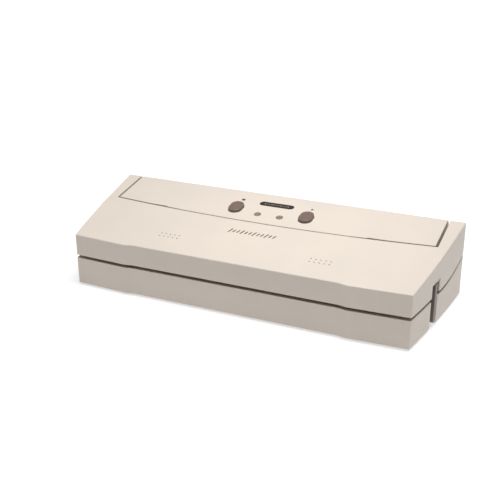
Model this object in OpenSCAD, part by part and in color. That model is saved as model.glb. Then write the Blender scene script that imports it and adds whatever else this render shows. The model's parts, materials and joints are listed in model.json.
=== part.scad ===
// Countertop vacuum sealer: a wedge-shaped lid with two rear arms, hinged on a base that carries
// the control housing, the sealing bar, the suction trough, the pump and the electronics.
// +Z is up and +Y points to the rear. The origin is at the middle of the footprint, under the feet.

/* [Body] */
// Overall depth, from the front bulge to the rear face
body_depth = 152; // [151:0.5:154]
// Width between the two front corners
front_width = 374; // [372:1:378]
// Width across the two rear corners
rear_width = 409; // [407:1:412]
// Radius of the long curve of each side, in plan
side_radius = 1400; // [1300:50:1800]
// How far the front stands ahead of its corners
front_sweep = 3; // [2.4:0.2:3.6]
// How far the middle of the front is set back
centre_recess = 1.8; // [0.8:0.2:2.2]
// Distance from the middle to each step in the front
step_x = 119.5; // [110:0.5:130]
// Width of each step in the front
step_width = 9; // [4:1:12]
// Radius of the rear corners, in plan
rear_corner_radius = 6; // [4:1:8]
// Thickness of the moulded walls
wall = 2.5; // [2.2:0.1:2.6]
// Height of the rubber feet below the base
foot_height = 2; // [1.5:0.5:3]

/* [Base] */
// Height of the base wall at the front
base_height = 30; // [29:0.5:31]
// Gap between the base and the resting lid
part_gap = 3.5; // [3.3:0.1:3.6]
// Distance behind the front corners where the parting line starts to rise
rise_start = 75; // [72:1:78]
// Radius of the rising parting line
rise_radius = 185; // [180:1:200]

/* [Lid] */
// Height of the lid's front wall
lid_front_height = 23.7; // [22:0.1:26]
// Slope of the top surface, in degrees
top_tilt = 9.8; // [9:0.1:10.5]
// Radius where the top turns down to the rear face
rear_radius = 8; // [6:0.5:9]
// Distance behind the front corners of the middle of the lid's rear edge
lid_reach = 79.3; // [79:0.1:79.8]
// Plan radius of the lid's rear edge, which bows forwards
seam_radius = 2005; // [1900:5:2200]
// Distance from the middle to the inner face of each arm
arm_inner_x = 188; // [187.5:0.1:189]
// Distance of the hinge axis behind the front corners
hinge_reach = 131; // [130:0.5:132]
// Height of the hinge axis above the ground
hinge_z = 65; // [64:0.5:66]
// Radius of the steel hinge pins
hinge_pin_r = 2.5; // [2:0.1:3]

/* [Controls] */
// Distance from the middle to each button
button_x = 41.6; // [38:0.1:46]
// Distance of the buttons behind the front corners
button_reach = 103.1; // [102:0.1:105]
// Width of the oval buttons
button_width = 15.2; // [13:0.1:16]
// Length of the oval buttons, front to rear
button_length = 21.2; // [18:0.1:22]
// How far a resting button stands above the panel
button_rise = 3.3; // [2.6:0.1:3.6]
// Distance from the middle to each lamp
lamp_x = 13; // [11:0.1:16]
// Distance of the lamps behind the front corners
lamp_reach = 96.8; // [95:0.1:98]
// Radius of the lamp lenses
lamp_r = 4.1; // [3.6:0.1:4.4]
// Length of the dark strip above the lamps
strip_length = 41; // [36:1:46]
// Height of the dark strip
strip_height = 8.8; // [7:0.1:9.4]

/* [Latches] */
// Distance of the latch pivot behind the front corners
latch_reach = 59.75; // [59.5:0.05:60]
// Height of the latch pivot above the ground
latch_pivot_z = 9; // [8.5:0.5:9.5]
// Width of the latch lever, front to rear
latch_width = 8.5; // [8:0.1:9]
// Outer face of the latch lever, from the middle
latch_outer_x = 196; // [195:0.1:196.2]
// Thickness of the latch lever
latch_thickness = 9.1; // [8.5:0.1:9.5]

/* [Hidden] */
$fn = 64;

// Colours
BEIGE = [0.88, 0.84, 0.78];
BEIGE_SHADE = [0.78, 0.74, 0.68];
TAUPE = [0.50, 0.44, 0.40];
DARK = [0.20, 0.16, 0.14];
RUBBER = [0.12, 0.12, 0.12];
SILICONE = [0.55, 0.50, 0.47];
STEEL = [0.72, 0.73, 0.75];
BRASS = [0.80, 0.66, 0.34];
BOARD = [0.16, 0.38, 0.22];
BLACK = [0.08, 0.08, 0.08];

// Main planes
front_y = -body_depth / 2 + front_sweep;
rear_y = body_depth / 2;
base_z = foot_height;
deck_z = base_z + base_height;
lid_z = deck_z + part_gap;
lid_top_z = lid_z + lid_front_height;
rise_y = front_y + rise_start;
rise_z = lid_z + rise_radius;
rear_reach = rear_y - front_y;
hinge_y = front_y + hinge_reach;
seam_rise = seam_radius - sqrt(pow(seam_radius, 2) - pow(arm_inner_x, 2));
arm_reach = lid_reach + seam_rise;
swing_r = 22.3;
far = 300;
cut = 0.5;
play = 0.2;

// Plan curve of the sides: one arc through the front and the rear corner
side_start = [front_width / 2, front_y];
side_end = [rear_width / 2, rear_y];
side_chord = norm(side_end - side_start);
side_dir = (side_end - side_start) / side_chord;
side_out = [side_dir.y, -side_dir.x];
side_sag = sqrt(pow(side_radius, 2) - pow(side_chord / 2, 2));
side_centre = (side_start + side_end) / 2 - side_out * side_sag;

// Rear corner arc, tangent to the side and to the rear face
corner_y = rear_y - rear_corner_radius;
corner_reach = side_radius - rear_corner_radius;
corner_x = side_centre.x + sqrt(pow(corner_reach, 2) - pow(corner_y - side_centre.y, 2));
corner_centre = [corner_x, corner_y];
corner_dir = (corner_centre - side_centre) / corner_reach;

// Rear edge arc of the top, in side view
edge_y = rear_y - rear_radius;
edge_z = top_z(edge_y) - rear_radius / cos(top_tilt);

// Trough, gasket and sealing bar
trough_x = 148;
trough_front = 32;
trough_rear = 63;
trough_floor_z = 18;
gasket_x = 162;
gasket_front = 22;
gasket_rear = 73;
gasket_width = 6;
gasket_corner = 12;
gasket_seat = 1.5;
gasket_meet_z = deck_z + 2;
bar_x = 158;
bar_front = 8.8;
bar_rear = 17.2;
bar_floor_z = 26;
bar_top_z = deck_z + 0.6;
ribbon_thickness = 0.2;
tape_thickness = 0.2;

// The deck between the lid's arms, and the windows in it over the pump and the transformer
ledge_x = arm_inner_x - 1;
window_front = 92;
window_rear = 142;
window_margin = 4;

// Lid liner
liner_z = lid_z + 0.5;
liner_thickness = 3.5;
liner_top_z = liner_z + liner_thickness;
liner_rear = arm_reach - wall - play;
chamber_roof_z = 45;

// Control housing
housing_x = arm_inner_x - 2.6;
housing_gap = 1.3;
board_depth = 12.4;
board_thickness = 1.6;
board_x = 75;
board_front = 93;
board_rear = 130;
flange_depth = wall + 1.2;
button_gap = 0.3;
button_flange = 1.4;
button_flange_height = 1.1;
button_stem_r = 2.6;
button_stem = 3;
lens_rise = 0.4;
lens_flange = 1;
strip_seat = 0.5;
strip_reach = 120.8;
board_holes = [[-70, 97], [70, 97], [-70, 126], [70, 126]];
board_screw_r = 1.2;
board_hole_r = 1.4;
switch_side = 6;
switch_height = 3.5;
plunger_r = 1.7;
plunger_height = 0.7;
led_r = 2.5;
led_height = 6;
vent_count = 7;
vent_left = -84;
vent_pitch = 6;
vent_width = 2.5;
vent_low = 44;
vent_high = 62;

// Latches and their slots
slot_front = 48;
slot_rear = 64.5;
slot_inner_x = 184;
slot_wall = 2;
notch_front = 49;
notch_rear = 69;
notch_top_z = 48.4;
latch_top_z = 47;
hook_z = 42;
hook_reach = 3;
hook_x = 4.2;
catch_x = 190.2;
catch_length = 10;
catch_thickness = 0.7;
latch_pin_r = 2;
pin_cover = 1;
running_fit = 0.05;

// Finger scoop in the lid's side above each notch: a leaning cylinder that fades out upwards
scoop_x = 254.7;
scoop_reach = 52.5;
scoop_r = 60;
scoop_lean = 2;
scoop_height = 40;

// Hinge bosses and pins
boss_r = 6;
housing_boss = 3 * wall;
arm_boss = 13;
arm_pin = 10;

// Screws and posts
post_r = 4;
screw_r = 1.5;
head_r = 3.1;
head_height = 1.1;
head_bore_r = 3.4;
head_bore_depth = 1.3;
clearance_r = 1.7;
screw_length = 12;
lid_screw_length = 10;
thread_room = 2;
cover_posts = [[-172, 11], [172, 11], [0, 26.5], [-182, 118], [182, 118], [0, 128]];
housing_posts = [[-168, 98], [168, 98], [-168, 136], [168, 136]];
lid_posts = [[-172, 20], [172, 20], [-172, 42], [172, 42], [-172, 76], [172, 76]];
foot_places = [[-158, 27], [158, 27], [-164, 128], [164, 128]];
foot_r = 7;
foot_stem_r = 2.5;
foot_lip = 0.6;
foot_lip_height = 1.5;

// Pump and transformer
pump_axis_reach = 119;
pump_axis_z = 25;
motor_r = 15;
motor_left = -112;
motor_right = -60;
shaft_r = 1.5;
crank_throw = 1.5;
crank_r = 3.5;
crank_left = -49;
crank_width = 8;
case_right = -30;
case_mid = (motor_right + case_right) / 2;
case_front = 110;
case_rear = 134;
case_top_z = 40;
case_bore_r = 11;
case_bore_shift = 3;
case_wall = 3;
rod_bore_r = 6;
motor_nose = 2;
motor_nose_r = 6;
cradle_left = motor_left + 12;
cradle_right = motor_right - 14;
cradle_drop = 6;
floor_z = base_z + wall;
diaphragm_thickness = 2.5;
diaphragm_r = 13;
cover_depth = 10;
port_length = 12;
nozzle_flange_r = 5;
nozzle_flange = 1.2;
strainer = 0.8;
strainer_pitch = 0.9;
strainer_hole_r = 0.35;
port_x = -50;
port_r = 2.5;
port_bore_r = 1.5;
port_z = 24;
hose_r = 4;
core_left = 60;
core_width = 48;
core_front = 110;
core_rear = 126;
core_height = 40;
limb_width = 16;
yoke = 8;
winding_overhang = 9;

// Wires, each a chain of points given as x, reach and z
wire_r = 0.8;
wire_bend_r = 1;
wire_bend_turn = [33, 27, 0];
heater_wire_x = 156;
heater_wire_reach = 13;
heater_wire_z = 15;
wire_run_reach = 92;
motor_lead_x = -62;

// Power inlet
inlet_x = 140;
inlet_z = 17;
inlet_width = 22;
inlet_height = 14;
inlet_depth = 17;
socket_r = 4.4;
socket_offset = 4.3;
socket_depth = 12;
inlet_pin_r = 1.3;
inlet_pin_length = 9;
inlet_front = rear_reach - inlet_depth;

// Height of the sloping top surface at y
function top_z(y) = lid_top_z + (y - front_y) * tan(top_tilt);

// A point at a depth under the panel, measured along the panel's normal, as x, reach and z
function under_panel(x, reach, depth) =
    [x, reach + depth * sin(top_tilt), top_z(front_y + reach) - depth * cos(top_tilt)];

// A box given by its x range, its range behind the front corners, and its z range
module box(x0, x1, reach0, reach1, z0, z1) {
    translate([x0, front_y + reach0, z0]) cube([x1 - x0, reach1 - reach0, z1 - z0]);
}

// Draws its children on both sides
module both_sides() {
    children();
    mirror([1, 0, 0]) children();
}

// Places its children on the sloping panel, with z along the panel's outward normal
module on_panel(x, reach) {
    y = front_y + reach;
    translate([x, y, top_z(y)]) rotate([top_tilt, 0, 0]) children();
}

// Plan outline of the body, moved inwards by d
module outline(d = 0) {
    step_in = step_x - step_width / 2;
    step_out = step_x + step_width / 2;
    centre_y = -body_depth / 2 + centre_recess + d;
    proud_y = -body_depth / 2 + d;
    sweep = front_sweep / (front_width / 2 - step_out);
    beyond = 230;
    end_y = proud_y + sweep * (beyond - step_out);
    difference() {
        intersection() {
            polygon([
                [-beyond, end_y], [-step_out, proud_y], [-step_in, centre_y],
                [step_in, centre_y], [step_out, proud_y], [beyond, end_y],
                [beyond, rear_y - d], [-beyond, rear_y - d]
            ]);
            translate(side_centre) circle(r = side_radius - d, $fn = 720);
            mirror([1, 0]) translate(side_centre) circle(r = side_radius - d, $fn = 720);
        }
        outside_corner(rear_corner_radius - d);
        mirror([1, 0]) outside_corner(rear_corner_radius - d);
    }
}

// What the arc of a rear corner leaves over, in plan
module outside_corner(r) {
    reach = 3 * rear_corner_radius;
    difference() {
        polygon([
            corner_centre, corner_centre + corner_dir * reach,
            corner_centre + [reach, reach], corner_centre + [0, reach]
        ]);
        translate(corner_centre) circle(r = r);
    }
}

// The outline as a solid between two heights
module outline_solid(d, z0, z1) {
    translate([0, 0, z0]) linear_extrude(z1 - z0) outline(d);
}

// Turns a drawing of the side view (y, z) into a bar across the whole width
module across() {
    rotate([90, 0, 90]) linear_extrude(2 * far, center = true) children();
}

// Side view of everything above the parting line, which is lowered by drop
module above_parting(drop = 0) {
    translate([-far, lid_z - drop]) square([rise_y + far, far]);
    intersection() {
        translate([rise_y, rise_z]) circle(r = rise_radius + drop, $fn = 360);
        translate([rise_y, 0]) square(far);
    }
}

// Side view of the casing under the sloping top and its rounded rear edge, inset by d
module wedge_profile(d = 0) {
    y0 = -body_depth;
    top_drop = d / cos(top_tilt);
    r = rear_radius - d;
    polygon([
        [y0, 0], [y0, top_z(y0) - top_drop],
        [edge_y - r * sin(top_tilt), edge_z + r * cos(top_tilt)],
        [edge_y, edge_z], [rear_y - d, edge_z], [rear_y - d, 0]
    ]);
    translate([edge_y, edge_z]) circle(r = r);
}

// The lid's outer form before it is hollowed, inset by d
module lid_block(d = 0) {
    intersection() {
        outline_solid(d, 0, 2 * lid_top_z);
        across() difference() {
            wedge_profile(d);
            difference() {
                translate([hinge_y, 0]) square([far, hinge_z]);
                translate([hinge_y, hinge_z]) circle(r = swing_r - d);
            }
        }
    }
}

// Everything behind the lid's rear edge, grown forwards by g
module behind_seam(g = 0) {
    translate([0, front_y + lid_reach + seam_radius, -far])
        cylinder(r = seam_radius + g, h = 3 * far, $fn = 1440);
}

// The bay between the lid's arms, where the control housing stands, grown by g
module housing_bay(g = 0) {
    intersection() {
        box(-arm_inner_x - g, arm_inner_x + g, 0, 2 * body_depth, -cut, 2 * lid_top_z);
        behind_seam(g);
    }
}

// A rounded rectangle from its x half-width and its range behind the front corners
module round_rect(half_x, reach0, reach1, r) {
    y0 = front_y + reach0;
    y1 = front_y + reach1;
    translate([-half_x + r, y0]) square([2 * (half_x - r), y1 - y0]);
    translate([-half_x, y0 + r]) square([2 * half_x, y1 - y0 - 2 * r]);
    for (x = [-half_x + r, half_x - r])
        for (y = [y0 + r, y1 - r])
            translate([x, y]) circle(r = r);
}

// The closed loop of a chamber gasket, made wider by grow on each side
module gasket_loop(z0, z1, grow = 0) {
    inner = gasket_width + grow;
    translate([0, 0, z0]) linear_extrude(z1 - z0) difference() {
        round_rect(gasket_x + grow, gasket_front - grow, gasket_rear + grow, gasket_corner + grow);
        round_rect(gasket_x - inner, gasket_front + inner, gasket_rear - inner,
            gasket_corner - inner);
    }
}

// Upright cylinders at a list of places, each given as x and reach
module posts(places, r, z0, z1) {
    for (p = places)
        translate([p.x, front_y + p.y, z0]) cylinder(r = r, h = z1 - z0);
}

// Screws driven upwards, with the heads' lower face at z0
module screws_up(places, z0, length) {
    posts(places, head_r, z0, z0 + head_height);
    posts(places, screw_r, z0 + head_height - play, z0 + head_height + length);
}

// Clearance holes with counterbores for screws driven upwards, in a plate from z0 to z1
module screw_bores(places, z0, z1) {
    posts(places, clearance_r, z0 - cut, z1 + cut);
    posts(places, head_bore_r, z0 - cut, z0 + head_bore_depth);
}

// A cylinder along X between two x values, on an axis given by its reach and height
module rod_x(x0, x1, reach, z, r) {
    translate([x0, front_y + reach, z]) rotate([0, 90, 0]) cylinder(r = r, h = x1 - x0);
}

// A cylinder along Y between two reaches
module rod_y(x, reach0, reach1, z, r) {
    translate([x, front_y + reach0, z]) rotate([-90, 0, 0]) cylinder(r = r, h = reach1 - reach0);
}

// A round wire through a chain of points, each given as x, reach and z
module wire(points) {
    for (i = [1:len(points) - 1]) {
        start = points[i - 1];
        run = points[i] - start;
        translate([start.x, front_y + start.y, start.z])
            rotate([0, acos(run.z / norm(run)), atan2(run.y, run.x)])
                cylinder(r = wire_r, h = norm(run));
    }
    for (i = [1:len(points) - 2])
        translate([points[i].x, front_y + points[i].y, points[i].z])
            rotate(wire_bend_turn) sphere(r = wire_bend_r);
}

// ---- Base body ----

module base_block() {
    intersection() {
        outline_solid(0, base_z, 2 * deck_z);
        across() difference() {
            translate([-far, 0]) square([2 * far, 2 * deck_z]);
            above_parting(part_gap);
        }
    }
}

module base_cavity() {
    difference() {
        intersection() {
            outline_solid(wall, -cut, 2 * deck_z);
            across() difference() {
                translate([-far, -cut]) square([2 * far, 2 * deck_z]);
                above_parting(part_gap + wall);
            }
        }
        box(-ledge_x - wall, ledge_x + wall, 0, 2 * body_depth, deck_z - wall, far);
    }
}

// The box around one latch slot, inside the right side of the base
module latch_box(d, z0, z1) {
    box(slot_inner_x - d, far, slot_front - d, slot_rear + d, z0, z1);
}

module base_shell() {
    color(BEIGE_SHADE) difference() {
        union() {
            difference() {
                base_block();
                base_cavity();
            }
            intersection() {
                base_block();
                union() {
                    box(-trough_x - wall, trough_x + wall, trough_front - wall, trough_rear + wall,
                        trough_floor_z - wall, deck_z);
                    box(-bar_x - wall, bar_x + wall, bar_front - wall, bar_rear + wall,
                        bar_floor_z - wall, deck_z);
                    both_sides() latch_box(slot_wall, base_z, deck_z);
                    posts(cover_posts, post_r, floor_z, deck_z);
                }
            }
        }
        box(-ledge_x, ledge_x, rise_start, 2 * body_depth, deck_z, far);
        box(-trough_x, trough_x, trough_front, trough_rear, trough_floor_z, far);
        box(-bar_x - play, bar_x + play, bar_front - play, bar_rear + play, bar_floor_z, far);
        gasket_loop(deck_z - gasket_seat, far, play);
        both_sides() latch_box(0, -cut, far);
        both_sides() rod_x(slot_inner_x - slot_wall - cut, slot_inner_x + cut,
            latch_reach, latch_pivot_z, latch_pin_r);
        posts(cover_posts, screw_r, 0, floor_z + screw_length + thread_room);
        posts(housing_posts, clearance_r, deck_z - 2 * wall, deck_z + cut);
        deck_window(motor_left, case_right);
        deck_window(core_left, core_left + core_width);
        heater_wire_holes();
        rod_y(port_x, trough_rear - cut, trough_rear + 2 * wall, port_z, port_r);
        box(inlet_x - inlet_width / 2, inlet_x + inlet_width / 2, inlet_front, 2 * body_depth,
            inlet_z - inlet_height / 2, inlet_z + inlet_height / 2);
    }
}

// A window through the deck around a part from x0 to x1
module deck_window(x0, x1) {
    box(x0 - window_margin, x1 + window_margin, window_front, window_rear,
        deck_z - 2 * wall, deck_z + cut);
}

module heater_wire_holes() {
    both_sides()
        posts([[heater_wire_x, heater_wire_reach]], wire_r + play / 2, bar_floor_z - 2 * wall, far);
}

module bottom_cover() {
    color(BEIGE_SHADE) difference() {
        outline_solid(wall + play, base_z, floor_z);
        both_sides() latch_box(slot_wall + play, -cut, far);
        screw_bores(cover_posts, base_z, floor_z);
        posts(foot_places, foot_stem_r, base_z - cut, floor_z + cut);
    }
}

module rubber_feet() {
    color(RUBBER) {
        posts(foot_places, foot_r, 0, base_z);
        posts(foot_places, foot_stem_r, base_z - play, floor_z + foot_lip_height);
        posts(foot_places, foot_stem_r + foot_lip, floor_z, floor_z + foot_lip_height);
    }
}

module cover_screws() {
    color(STEEL) screws_up(cover_posts, base_z + play, screw_length);
}

module housing_block(d = 0) {
    intersection() {
        box(-housing_x + d, housing_x - d, 0, 2 * body_depth, deck_z - d, far);
        behind_seam(-housing_gap - d);
        across() wedge_profile(d);
    }
}

module control_housing() {
    color(BEIGE) difference() {
        union() {
            difference() {
                housing_block();
                housing_block(wall);
            }
            intersection() {
                housing_block();
                union() {
                    posts(housing_posts, post_r, deck_z, far);
                    both_sides()
                        rod_x(housing_x - housing_boss, housing_x, hinge_reach, hinge_z, boss_r);
                    board_posts(3);
                }
            }
        }
        posts(housing_posts, screw_r, deck_z - cut, deck_z + screw_length + thread_room);
        both_sides() rod_x(housing_x - housing_boss - wall, housing_x + cut, hinge_reach, hinge_z,
            hinge_pin_r);
        for (x = [-button_x, button_x])
            on_panel(x, button_reach) button_block(button_gap, -2 * wall, wall);
        for (x = [-lamp_x, lamp_x])
            on_panel(x, lamp_reach) through_bore(lamp_r);
        on_panel(0, strip_reach) translate([0, 0, -strip_seat]) linear_extrude(wall) strip_outline();
        for (p = board_holes)
            on_panel(p.x, p.y) translate([0, 0, -board_depth - cut])
                cylinder(r = board_screw_r, h = board_depth - 2 * wall);
        vent_slots();
    }
}

// Exhaust slots in the rear wall of the housing
module vent_slots() {
    for (i = [0:vent_count - 1])
        box(vent_left + i * vent_pitch, vent_left + i * vent_pitch + vent_width,
            rear_reach - 2 * wall, 2 * body_depth, vent_low, vent_high);
}

module through_bore(r) {
    translate([0, 0, -2 * wall]) cylinder(r = r, h = 3 * wall);
}

// An upright block with a button's outline, grown all round, between two heights
module button_block(grow, z0, z1) {
    end = (button_length - button_width) / 2;
    translate([0, 0, z0]) linear_extrude(z1 - z0) {
        square([button_width + 2 * grow, 2 * end], center = true);
        for (y = [-end, end])
            translate([0, y]) circle(r = button_width / 2 + grow);
    }
}

module strip_outline() {
    end = (strip_length - strip_height) / 2;
    square([2 * end, strip_height], center = true);
    for (x = [-end, end])
        translate([x, 0]) circle(r = strip_height / 2);
}

// Posts under the panel that the circuit board is screwed to
module board_posts(r) {
    for (p = board_holes)
        on_panel(p.x, p.y) translate([0, 0, -board_depth]) cylinder(r = r, h = board_depth);
}

module housing_screws() {
    color(STEEL) screws_up(housing_posts, deck_z - wall - head_height, screw_length);
}

module display_strip() {
    color(DARK) on_panel(0, strip_reach) translate([0, 0, -strip_seat])
        linear_extrude(strip_seat + 0.1) strip_outline();
}

module lamp_lens(x) {
    on_panel(x, lamp_reach) {
        translate([0, 0, -wall]) cylinder(r = lamp_r, h = wall + lens_rise);
        translate([0, 0, -wall - lens_flange]) cylinder(r = lamp_r + lens_flange, h = lens_flange);
    }
}

module lamp_vacuum() {
    color(TAUPE) lamp_lens(-lamp_x);
}

module lamp_seal() {
    color(TAUPE) lamp_lens(lamp_x);
}

module lamp_leds() {
    color("white") for (x = [-lamp_x, lamp_x])
        on_panel(x, lamp_reach) translate([0, 0, -board_depth]) {
            cylinder(r = led_r, h = led_height);
            translate([0, 0, led_height]) sphere(r = led_r);
        }
}

module circuit_board() {
    color(BOARD) difference() {
        on_panel(-board_x, board_front) translate([0, 0, -board_depth - board_thickness])
            cube([2 * board_x, (board_rear - board_front) / cos(top_tilt), board_thickness]);
        for (p = board_holes)
            on_panel(p.x, p.y) translate([0, 0, -2 * board_depth])
                cylinder(r = board_hole_r, h = 2 * board_depth);
    }
}

module board_screws() {
    under = board_depth + board_thickness;
    board_screw_head = 1.4;
    color(STEEL) for (p = board_holes)
        on_panel(p.x, p.y) {
            translate([0, 0, -under - board_screw_head])
                cylinder(r = 2 * board_screw_r, h = board_screw_head);
            translate([0, 0, -under - play]) cylinder(r = board_screw_r, h = screw_length / 2);
        }
}

// A block under the board, given by its middle and its size
module board_block(x, reach, width, length, height) {
    on_panel(x, reach) translate([-width / 2, -length / 2, -board_depth - board_thickness - height])
        cube([width, length, height]);
}

module board_components() {
    capacitor_r = 5;
    capacitor_height = 13;
    under = board_depth + board_thickness;
    color(BLACK) {
        board_block(40, 112, 20, 16, 14);
        board_block(12, 112, 12, 16, 5);
        board_block(-13, 106, 18, 8, 8);
        for (x = [-50, -36])
            on_panel(x, 114) translate([0, 0, -under - capacitor_height])
                cylinder(r = capacitor_r, h = capacitor_height);
    }
}

module button_switches() {
    color(BLACK) for (x = [-button_x, button_x])
        on_panel(x, button_reach) translate([0, 0, -board_depth]) {
            translate([-switch_side / 2, -switch_side / 2, 0])
                cube([switch_side, switch_side, switch_height]);
            cylinder(r = plunger_r, h = switch_height + plunger_height);
        }
}

module transformer_core() {
    window = (core_width - 2 * yoke - limb_width) / 2;
    color(STEEL) difference() {
        box(core_left, core_left + core_width, core_front, core_rear, floor_z, floor_z + core_height);
        for (x = [core_left + yoke, core_left + core_width - yoke - window])
            box(x, x + window, 0, 2 * body_depth, floor_z + yoke, floor_z + core_height - yoke);
    }
}

module transformer_winding() {
    limb_left = core_left + (core_width - limb_width) / 2;
    color(BRASS) difference() {
        box(core_left + yoke + play, core_left + core_width - yoke - play,
            core_front - winding_overhang, core_rear + winding_overhang,
            floor_z + yoke + play, floor_z + core_height - yoke - play);
        box(limb_left, limb_left + limb_width, core_front, core_rear, 0, far);
    }
}

module pump_motor() {
    nose = motor_right - motor_nose;
    color(STEEL) difference() {
        union() {
            rod_x(motor_left, nose, pump_axis_reach, pump_axis_z, motor_r);
            rod_x(nose, motor_right, pump_axis_reach, pump_axis_z, motor_nose_r);
        }
        rod_x(motor_left - cut, motor_right + cut, pump_axis_reach, pump_axis_z,
            shaft_r + running_fit);
    }
}

module motor_cradle() {
    color(BLACK) difference() {
        box(cradle_left, cradle_right, pump_axis_reach - motor_r, pump_axis_reach + motor_r,
            floor_z, pump_axis_z - cradle_drop);
        rod_x(motor_left, motor_right, pump_axis_reach, pump_axis_z, motor_r);
    }
}

module pump_crankcase() {
    color(BLACK) difference() {
        box(motor_right, case_right, case_front, case_rear, floor_z, case_top_z);
        rod_x(motor_right + case_wall, case_right + cut, pump_axis_reach + case_bore_shift,
            pump_axis_z, case_bore_r);
        rod_x(motor_right - cut, motor_right + case_wall + cut, pump_axis_reach, pump_axis_z,
            shaft_r + 1);
        rod_y(case_mid, case_front - cut, pump_axis_reach, pump_axis_z, rod_bore_r);
    }
}

module motor_shaft() {
    color(STEEL) {
        rod_x(motor_left + 1, crank_left + play, pump_axis_reach, pump_axis_z, shaft_r);
        rod_x(crank_left, crank_left + crank_width, pump_axis_reach + crank_throw, pump_axis_z,
            crank_r);
    }
}

module connecting_rod() {
    ring_in = crank_r + crank_throw + 0.5;
    ring_out = ring_in + 2.1;
    shank = 4;
    left = crank_left + 1;
    right = crank_left + crank_width - 1;
    color("white") difference() {
        union() {
            rod_x(left, right, pump_axis_reach, pump_axis_z, ring_out);
            box(left + 1, right - 1, case_front, pump_axis_reach,
                pump_axis_z - shank / 2, pump_axis_z + shank / 2);
        }
        rod_x(left - cut, right + cut, pump_axis_reach, pump_axis_z, ring_in);
    }
}

module diaphragm() {
    color(RUBBER)
        rod_y(case_mid, case_front - diaphragm_thickness, case_front, pump_axis_z, diaphragm_r);
}

module valve_cover() {
    back = case_front - diaphragm_thickness;
    face = back - cover_depth;
    color(BLACK) difference() {
        union() {
            box(motor_right, case_right, face, back, floor_z, case_top_z);
            rod_y(port_x, face - port_length, face + 1, port_z, port_r);
        }
        rod_y(port_x, face - port_length - cut, back - case_wall, port_z, port_bore_r);
    }
}

module vacuum_hose() {
    hose_start = trough_rear + wall + 1;
    hose_end = case_front - diaphragm_thickness - cover_depth - 1;
    color(SILICONE) difference() {
        rod_y(port_x, hose_start, hose_end, port_z, hose_r);
        rod_y(port_x, hose_start - cut, hose_end + cut, port_z, port_r);
    }
}

module suction_nozzle() {
    nozzle_front = trough_rear - nozzle_flange;
    nozzle_end = trough_rear + 5 * wall;
    color(BLACK) difference() {
        union() {
            rod_y(port_x, nozzle_front, trough_rear, port_z, nozzle_flange_r);
            rod_y(port_x, nozzle_front, nozzle_end, port_z, port_r);
        }
        rod_y(port_x, nozzle_front + strainer, nozzle_end + cut, port_z, port_bore_r);
        for (p = [[0, 0], [1, 0], [-1, 0], [0, 1], [0, -1]])
            rod_y(port_x + p.x * strainer_pitch, nozzle_front - cut, trough_rear,
                port_z + p.y * strainer_pitch, strainer_hole_r);
    }
}

// Two leads from the power inlet to the transformer
module mains_wires() {
    winding_right = core_left + core_width - yoke - play;
    color(BLACK) for (side = [-1, 1]) {
        x = inlet_x + side * socket_offset;
        turn = inlet_front - 3.5 - side;
        rise = inlet_z + 6 + side * 3;
        wire([[x, inlet_front, inlet_z], [x, turn, inlet_z], [x, turn, rise],
            [winding_right, turn, rise]]);
    }
}

// Two leads from the transformer up to the circuit board
module board_wires() {
    winding_top = floor_z + core_height - yoke - play;
    lead_reach = core_rear + winding_overhang / 2;
    under = board_depth + board_thickness;
    color(BLACK) for (x = [72, 78])
        wire([[x, lead_reach, winding_top], [x, lead_reach, winding_top + 10],
            under_panel(x - 12, 120, under + 6), under_panel(x - 12, 120, under)]);
}

// Two leads from the motor's end to the circuit board
module motor_wires() {
    lead_z = pump_axis_z + 6;
    run_z = case_top_z + 12;
    left = motor_left - window_margin / 2;
    color(BLACK) for (side = [-1, 1]) {
        reach = pump_axis_reach + side * 6;
        board_z = under_panel(motor_lead_x, reach, board_depth + board_thickness).z - wire_r;
        wire([[motor_left, reach, lead_z], [left, reach, lead_z], [left, reach, run_z],
            [motor_lead_x, reach, run_z], [motor_lead_x, reach, board_z]]);
    }
}

// Two leads from the ends of the sealing bar to the transformer
module heater_wires() {
    winding_front = core_front - winding_overhang;
    color(BLACK) for (side = [-1, 1]) {
        x = side * heater_wire_x;
        run_reach = wire_run_reach - side * 1.5;
        lead_x = core_left + core_width / 2 + side * 8;
        wire([[x, heater_wire_reach, bar_top_z], [x, heater_wire_reach, heater_wire_z],
            [x, run_reach, heater_wire_z], [lead_x, run_reach, heater_wire_z],
            [lead_x, winding_front, heater_wire_z]]);
    }
}

module lower_gasket() {
    color(SILICONE) gasket_loop(deck_z - gasket_seat, gasket_meet_z);
}

module heater_carrier() {
    color(BLACK) difference() {
        box(-bar_x, bar_x, bar_front, bar_rear, bar_floor_z, bar_top_z);
        heater_wire_holes();
    }
}

module heating_ribbon() {
    color(STEEL) box(-bar_x + 6, bar_x - 6, bar_front + 2.2, bar_rear - 2.2,
        bar_top_z, bar_top_z + ribbon_thickness);
}

module heater_tape() {
    color(DARK) difference() {
        box(-bar_x + 3, bar_x - 3, bar_front, bar_rear, bar_top_z,
            bar_top_z + ribbon_thickness + tape_thickness);
        box(-bar_x + 6, bar_x - 6, bar_front + 2.2, bar_rear - 2.2,
            bar_top_z - cut, bar_top_z + ribbon_thickness);
    }
}

module heater_terminals() {
    color(BRASS) both_sides()
        box(bar_x - 3, bar_x - 0.6, bar_front + 1, bar_rear - 1, bar_top_z, bar_top_z + 0.6);
}

module hinge_pins() {
    color(STEEL) both_sides()
        rod_x(housing_x - housing_boss, arm_inner_x + arm_pin, hinge_reach, hinge_z, hinge_pin_r);
}

module latch_pins() {
    color(STEEL) both_sides()
        rod_x(slot_inner_x - slot_wall, latch_outer_x - pin_cover, latch_reach, latch_pivot_z,
            latch_pin_r);
}

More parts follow.
